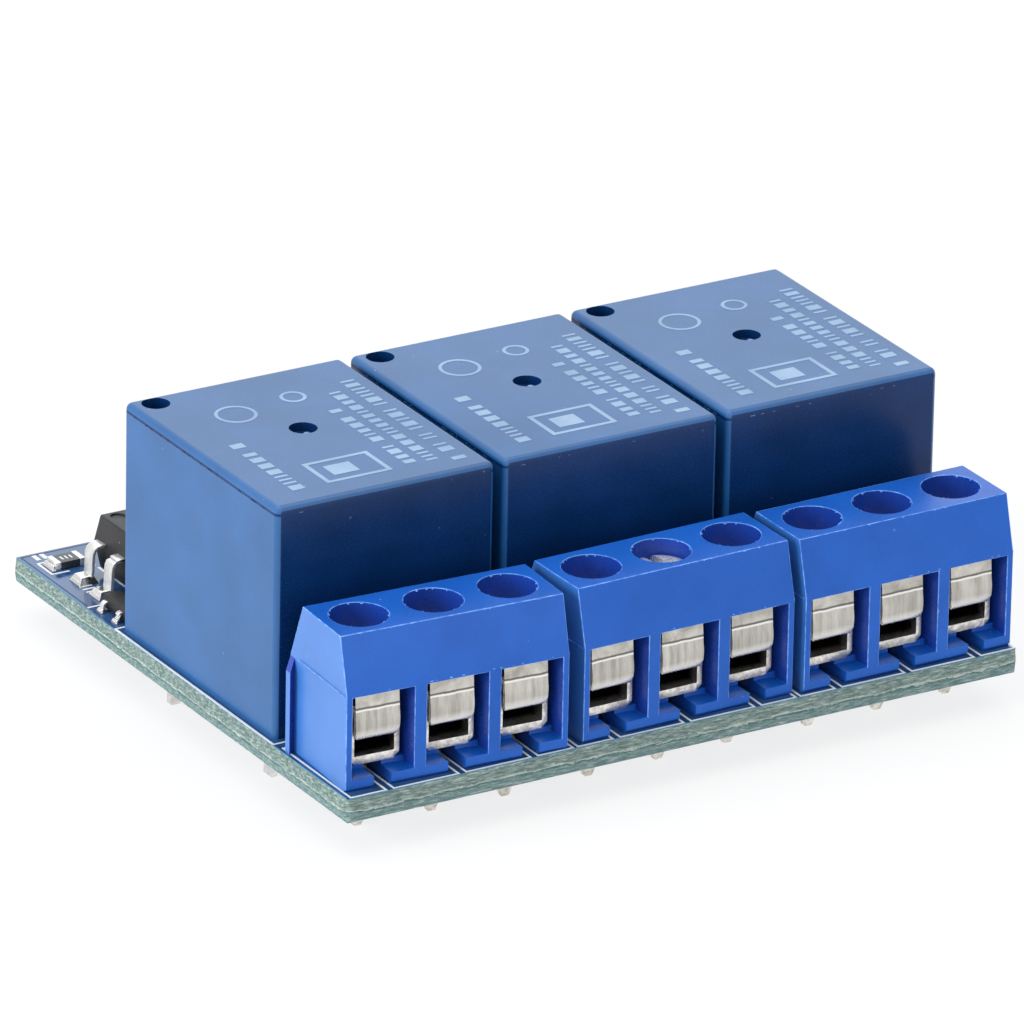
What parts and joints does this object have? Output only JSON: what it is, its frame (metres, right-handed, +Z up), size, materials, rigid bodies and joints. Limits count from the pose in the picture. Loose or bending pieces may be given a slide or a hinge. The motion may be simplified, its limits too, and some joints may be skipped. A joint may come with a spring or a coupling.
{
  "type": "relay module board",
  "caption": "Circuit board with a row of cube relays behind a row of screw terminal blocks, opto-isolated inputs and a pin header.",
  "frame": {"origin": "middle of the board outline, on the plane of the solder tail tips that the module rests on", "axes": "+X along the row of terminal blocks to the right, +Y from the terminals to the pin header, +Z up from the solder side to the relays"},
  "size_m": [0.0484, 0.0424, 0.0193],
  "materials": {
    "laminate": "satin solder mask, white legend print",
    "terminal_plastic": "moulded, satin",
    "tinned_brass": "bright tin plating",
    "zinc_steel": "zinc plated",
    "guard_steel": "brushed sheet",
    "relay_plastic": "moulded, satin, white print on the top",
    "relay_base_plastic": "moulded",
    "bobbin_plastic": "moulded",
    "enamelled_copper": "enamelled wire, wound",
    "soft_iron": "plated",
    "contact_bronze": "rolled strip",
    "tinned_terminal": "tinned",
    "black_epoxy": "moulded",
    "chip_ceramic": "glazed",
    "led_resin": "clear resin",
    "header_plastic": "moulded",
    "gold_pins": "gold flash",
    "solder": "bright, smooth"
  },
  "bodies": {
    "board": {"pcb": "laminate", "terminal_housing_1": "terminal_plastic", "terminal_housing_2": "terminal_plastic", "terminal_housing_3": "terminal_plastic", "contact_frames_1": "tinned_brass", "contact_frames_2": "tinned_brass", "contact_frames_3": "tinned_brass", "relay_case_1": "relay_plastic", "relay_case_2": "relay_plastic", "relay_case_3": "relay_plastic", "relay_base_1": "relay_base_plastic", "relay_base_2": "relay_base_plastic", "relay_base_3": "relay_base_plastic", "relay_bobbin_1": "bobbin_plastic", "relay_bobbin_2": "bobbin_plastic", "relay_bobbin_3": "bobbin_plastic", "relay_winding_1": "enamelled_copper", "relay_winding_2": "enamelled_copper", "relay_winding_3": "enamelled_copper", "relay_core_1": "soft_iron", "relay_core_2": "soft_iron", "relay_core_3": "soft_iron", "relay_yoke_1": "soft_iron", "relay_yoke_2": "soft_iron", "relay_yoke_3": "soft_iron", "relay_terminals_1": "tinned_terminal", "relay_terminals_2": "tinned_terminal", "relay_terminals_3": "tinned_terminal", "optocouplers": "black_epoxy", "transistors": "black_epoxy", "diodes": "black_epoxy", "resistors": "chip_ceramic", "leds": "led_resin", "header_body": "header_plastic", "header_pins": "gold_pins", "solder_joints": "solder"},
    "guard_11": {"wire_guard_11": "guard_steel"},
    "screw_11": {"clamp_screw_11": "zinc_steel"},
    "guard_12": {"wire_guard_12": "guard_steel"},
    "screw_12": {"clamp_screw_12": "zinc_steel"},
    "guard_13": {"wire_guard_13": "guard_steel"},
    "screw_13": {"clamp_screw_13": "zinc_steel"},
    "armature_1": {"relay_armature_1": "soft_iron", "relay_moving_contact_1": "contact_bronze"},
    "guard_21": {"wire_guard_21": "guard_steel"},
    "screw_21": {"clamp_screw_21": "zinc_steel"},
    "guard_22": {"wire_guard_22": "guard_steel"},
    "screw_22": {"clamp_screw_22": "zinc_steel"},
    "guard_23": {"wire_guard_23": "guard_steel"},
    "screw_23": {"clamp_screw_23": "zinc_steel"},
    "armature_2": {"relay_armature_2": "soft_iron", "relay_moving_contact_2": "contact_bronze"},
    "guard_31": {"wire_guard_31": "guard_steel"},
    "screw_31": {"clamp_screw_31": "zinc_steel"},
    "guard_32": {"wire_guard_32": "guard_steel"},
    "screw_32": {"clamp_screw_32": "zinc_steel"},
    "guard_33": {"wire_guard_33": "guard_steel"},
    "screw_33": {"clamp_screw_33": "zinc_steel"},
    "armature_3": {"relay_armature_3": "soft_iron", "relay_moving_contact_3": "contact_bronze"}
  },
  "joints": [
    {"name": "guard_slide_11", "type": "slide", "parent": "board", "child": "guard_11", "axis": [0, 0, -1], "range_m": [0, 0.00118]},
    {"name": "screw_turn_11", "type": "hinge", "parent": "guard_11", "child": "screw_11", "pos_m": [-0.02094, -0.01681, 0.01195], "axis": [0, 0, -1], "range_deg": [0, 850]},
    {"name": "guard_slide_12", "type": "slide", "parent": "board", "child": "guard_12", "axis": [0, 0, -1], "range_m": [0, 0.00118]},
    {"name": "screw_turn_12", "type": "hinge", "parent": "guard_12", "child": "screw_12", "pos_m": [-0.01586, -0.01706, 0.01195], "axis": [0, 0, -1], "range_deg": [0, 850]},
    {"name": "guard_slide_13", "type": "slide", "parent": "board", "child": "guard_13", "axis": [0, 0, -1], "range_m": [0, 0.00118]},
    {"name": "screw_turn_13", "type": "hinge", "parent": "guard_13", "child": "screw_13", "pos_m": [-0.01079, -0.01731, 0.01195], "axis": [0, 0, -1], "range_deg": [0, 850]},
    {"name": "armature_tilt_1", "type": "hinge", "parent": "board", "child": "armature_1", "pos_m": [-0.01585, 0.00614, 0.01515], "axis": [1, 0, 0], "range_deg": [0, 2.5], "stiffness_Nm_per_rad": 0.008, "springref_deg": -6.88},
    {"name": "guard_slide_21", "type": "slide", "parent": "board", "child": "guard_21", "axis": [0, 0, -1], "range_m": [0, 0.00118]},
    {"name": "screw_turn_21", "type": "hinge", "parent": "guard_21", "child": "screw_21", "pos_m": [-0.00476, -0.01718, 0.01195], "axis": [0, 0, -1], "range_deg": [0, 850]},
    {"name": "guard_slide_22", "type": "slide", "parent": "board", "child": "guard_22", "axis": [0, 0, -1], "range_m": [0, 0.00118], "stiffness_N_per_m": 40, "springref_m": -0.0001},
    {"name": "screw_lower_22", "type": "slide", "parent": "board", "child": "screw_22", "axis": [0, 0, -1], "range_m": [0, 0.00115]},
    {"name": "guard_slide_23", "type": "slide", "parent": "board", "child": "guard_23", "axis": [0, 0, -1], "range_m": [0, 0.00118]},
    {"name": "screw_turn_23", "type": "hinge", "parent": "guard_23", "child": "screw_23", "pos_m": [0.00539, -0.01694, 0.01195], "axis": [0, 0, -1], "range_deg": [0, 850]},
    {"name": "armature_tilt_2", "type": "hinge", "parent": "board", "child": "armature_2", "pos_m": [0.00015, 0.00614, 0.01515], "axis": [1, 0, 0], "range_deg": [0, 2.5], "stiffness_Nm_per_rad": 0.008, "springref_deg": -6.88},
    {"name": "guard_slide_31", "type": "slide", "parent": "board", "child": "guard_31", "axis": [0, 0, -1], "range_m": [0, 0.00118]},
    {"name": "screw_turn_31", "type": "hinge", "parent": "guard_31", "child": "screw_31", "pos_m": [0.01116, -0.01712, 0.01195], "axis": [0, 0, -1], "range_deg": [0, 850]},
    {"name": "guard_slide_32", "type": "slide", "parent": "board", "child": "guard_32", "axis": [0, 0, -1], "range_m": [0, 0.00118]},
    {"name": "screw_turn_32", "type": "hinge", "parent": "guard_32", "child": "screw_32", "pos_m": [0.01624, -0.01706, 0.01195], "axis": [0, 0, -1], "range_deg": [0, 850]},
    {"name": "guard_slide_33", "type": "slide", "parent": "board", "child": "guard_33", "axis": [0, 0, -1], "range_m": [0, 0.00118]},
    {"name": "screw_turn_33", "type": "hinge", "parent": "guard_33", "child": "screw_33", "pos_m": [0.02132, -0.017, 0.01195], "axis": [0, 0, -1], "range_deg": [0, 850]},
    {"name": "armature_tilt_3", "type": "hinge", "parent": "board", "child": "armature_3", "pos_m": [0.01615, 0.00614, 0.01515], "axis": [1, 0, 0], "range_deg": [0, 2.5], "stiffness_Nm_per_rad": 0.008, "springref_deg": -6.88}
  ],
  "couplings": [
    {"joint": "screw_turn_11", "follows": "guard_slide_11", "rad_per_m": 12566},
    {"joint": "screw_turn_12", "follows": "guard_slide_12", "rad_per_m": 12566},
    {"joint": "screw_turn_13", "follows": "guard_slide_13", "rad_per_m": 12566},
    {"joint": "screw_turn_21", "follows": "guard_slide_21", "rad_per_m": 12566},
    {"joint": "screw_turn_23", "follows": "guard_slide_23", "rad_per_m": 12566},
    {"joint": "screw_turn_31", "follows": "guard_slide_31", "rad_per_m": 12566},
    {"joint": "screw_turn_32", "follows": "guard_slide_32", "rad_per_m": 12566},
    {"joint": "screw_turn_33", "follows": "guard_slide_33", "rad_per_m": 12566}
  ]
}
